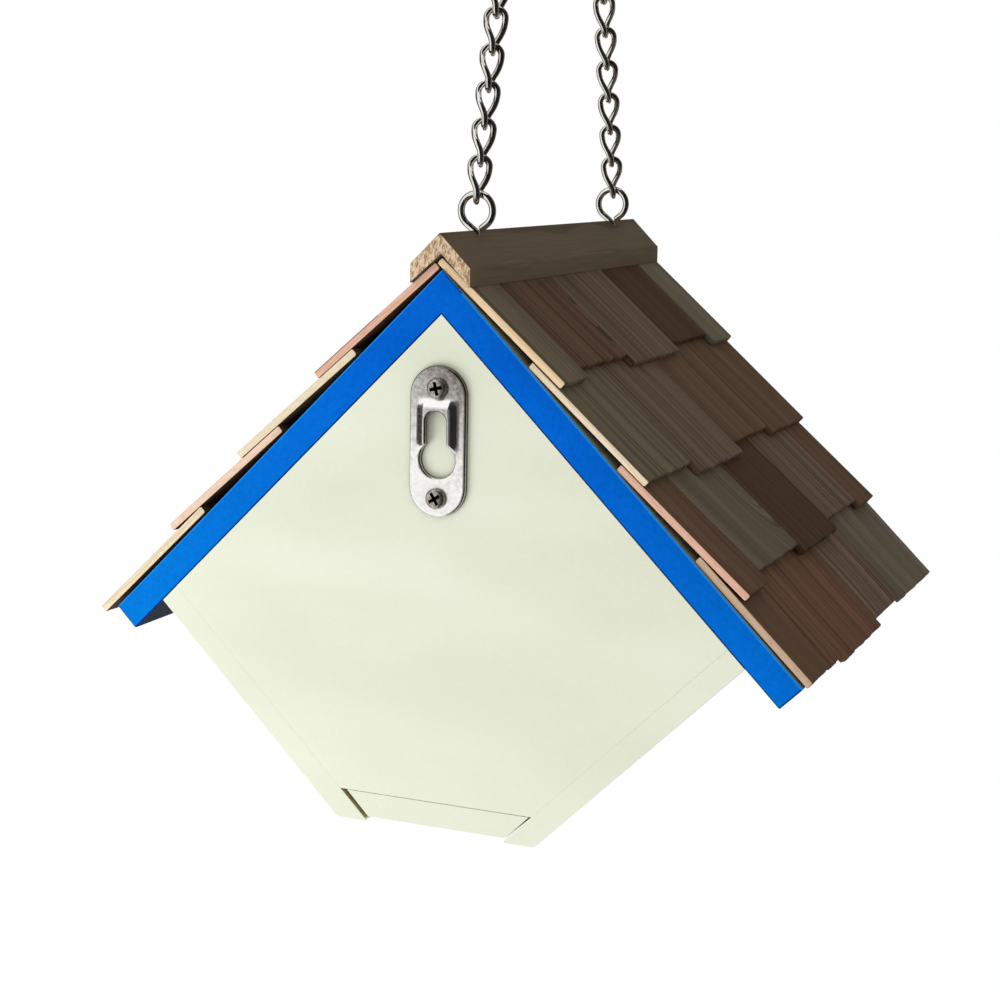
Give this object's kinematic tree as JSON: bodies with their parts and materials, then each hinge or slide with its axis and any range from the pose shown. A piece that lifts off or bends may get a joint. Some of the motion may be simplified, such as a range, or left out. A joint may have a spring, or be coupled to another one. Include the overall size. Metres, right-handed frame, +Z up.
{
  "type": "wren birdhouse",
  "caption": "Hanging corner-set wren birdhouse: painted shell, shingled gable roof with ridge cap, screw eyes, chains and hooks, a slide-out floor and a wall keyhole plate.",
  "frame": {"origin": "midway between the seats of the two hooks, where the house hangs", "axes": "+Z up, +Y towards the back with the keyhole plate, -Y towards the entrance, +X to the right as seen from the front"},
  "size_m": [0.2085, 0.157, 0.2583],
  "materials": {
    "cream_paint": "brushed cream paint, satin",
    "blue_paint": "bright blue paint, satin",
    "stained_shingle": "brown and grey-olive stain over split cedar, matt, raw at the sawn edges",
    "stained_cap": "olive-brown stain, matt",
    "bright_zinc": "bright zinc plate",
    "galvanised_plate": "satin galvanised sheet",
    "dull_zinc": "dull zinc",
    "brad_steel": "plain steel"
  },
  "bodies": {
    "hanger": {"front_hook": "bright_zinc", "rear_hook": "bright_zinc"},
    "links_7": {"front_link_7": "bright_zinc", "rear_link_7": "bright_zinc"},
    "links_6": {"front_link_6": "bright_zinc", "rear_link_6": "bright_zinc"},
    "links_5": {"front_link_5": "bright_zinc", "rear_link_5": "bright_zinc"},
    "links_4": {"front_link_4": "bright_zinc", "rear_link_4": "bright_zinc"},
    "links_3": {"front_link_3": "bright_zinc", "rear_link_3": "bright_zinc"},
    "links_2": {"front_link_2": "bright_zinc", "rear_link_2": "bright_zinc"},
    "links_1": {"front_link_1": "bright_zinc", "rear_link_1": "bright_zinc"},
    "house": {"front_panel": "cream_paint", "back_panel": "cream_paint", "left_side_wall": "cream_paint", "right_side_wall": "cream_paint", "left_roof_board": "blue_paint", "right_roof_board": "blue_paint", "left_shingles_course_1": "stained_shingle", "left_shingles_course_2": "stained_shingle", "left_shingles_course_3": "stained_shingle", "left_shingles_course_4": "stained_shingle", "right_shingles_course_1": "stained_shingle", "right_shingles_course_2": "stained_shingle", "right_shingles_course_3": "stained_shingle", "right_shingles_course_4": "stained_shingle", "ridge_cap": "stained_cap", "front_eye_screw": "bright_zinc", "rear_eye_screw": "bright_zinc", "keyhole_hanger": "galvanised_plate", "hanger_screws": "dull_zinc", "roof_brads": "brad_steel", "wall_brads": "brad_steel"},
    "floor": {"clean_out_floor": "cream_paint"}
  },
  "joints": [
    {"name": "link_7_swing", "type": "hinge", "parent": "hanger", "child": "links_7", "pos_m": [0, 0, -0.02012], "axis": [0, 1, 0], "range_deg": [-15, 15]},
    {"name": "link_6_swing", "type": "hinge", "parent": "links_7", "child": "links_6", "pos_m": [0, 0, -0.02986], "axis": [0, 1, 0], "range_deg": [-15, 15]},
    {"name": "link_5_swing", "type": "hinge", "parent": "links_6", "child": "links_5", "pos_m": [0, 0, -0.03961], "axis": [0, 1, 0], "range_deg": [-15, 15]},
    {"name": "link_4_swing", "type": "hinge", "parent": "links_5", "child": "links_4", "pos_m": [0, 0, -0.04935], "axis": [0, 1, 0], "range_deg": [-15, 15]},
    {"name": "link_3_swing", "type": "hinge", "parent": "links_4", "child": "links_3", "pos_m": [0, 0, -0.0591], "axis": [0, 1, 0], "range_deg": [-15, 15]},
    {"name": "link_2_swing", "type": "hinge", "parent": "links_3", "child": "links_2", "pos_m": [0, 0, -0.06884], "axis": [0, 1, 0], "range_deg": [-15, 15]},
    {"name": "link_1_swing", "type": "hinge", "parent": "links_2", "child": "links_1", "pos_m": [0, 0, -0.07858], "axis": [0, 1, 0], "range_deg": [-15, 15]},
    {"name": "house_rock", "type": "hinge", "parent": "links_1", "child": "house", "pos_m": [0, 0, -0.09015], "axis": [0, 1, 0], "range_deg": [-45, 45]},
    {"name": "clean_out_slide", "type": "slide", "parent": "house", "child": "floor", "axis": [0, 1, 0], "range_m": [0, 0.14]}
  ]
}
